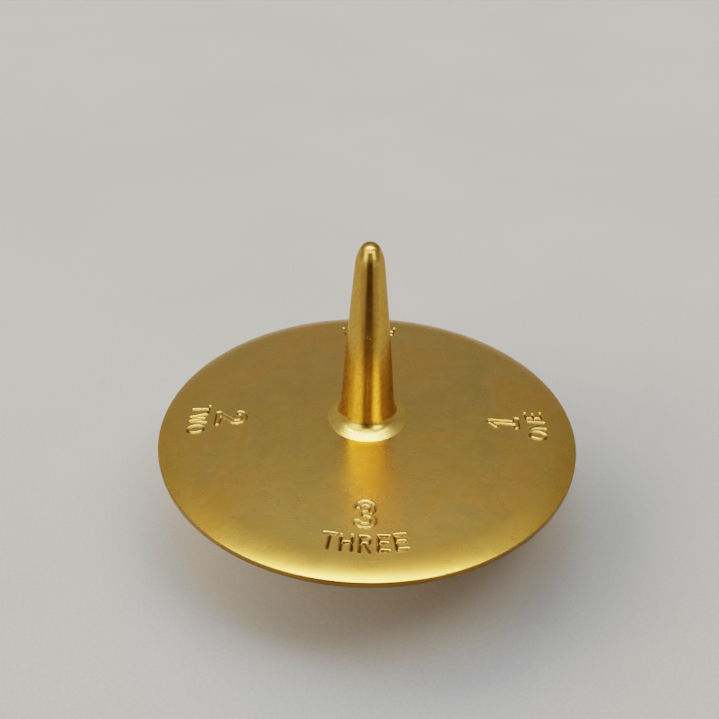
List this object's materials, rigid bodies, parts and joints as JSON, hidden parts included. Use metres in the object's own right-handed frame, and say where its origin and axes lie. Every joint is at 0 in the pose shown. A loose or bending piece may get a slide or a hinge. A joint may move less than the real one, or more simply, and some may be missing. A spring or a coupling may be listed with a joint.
{
  "type": "spinning top",
  "caption": "Disc-shaped finger top: a domed flywheel disc with incised marks, a tapered round-tipped grip on a shallow conical collar, and a pointed foot below.",
  "frame": {"origin": "the middle of the small flat at the spinning point, at the bottom of the foot", "axes": "+Z along the spin axis, from the point up to the grip's tip; -Y towards the mark 3 and +X towards the mark 1 on the disc"},
  "size_m": [0.09, 0.09, 0.0599],
  "materials": {
    "satin_brass": "satin",
    "polished_brass": "polished",
    "foot_brass": "satin",
    "stud_steel": "satin"
  },
  "bodies": {
    "root": {"flywheel_disc": "satin_brass", "finger_grip": "polished_brass", "spinning_foot": "foot_brass", "clamp_stud": "stud_steel"}
  },
  "joints": []
}
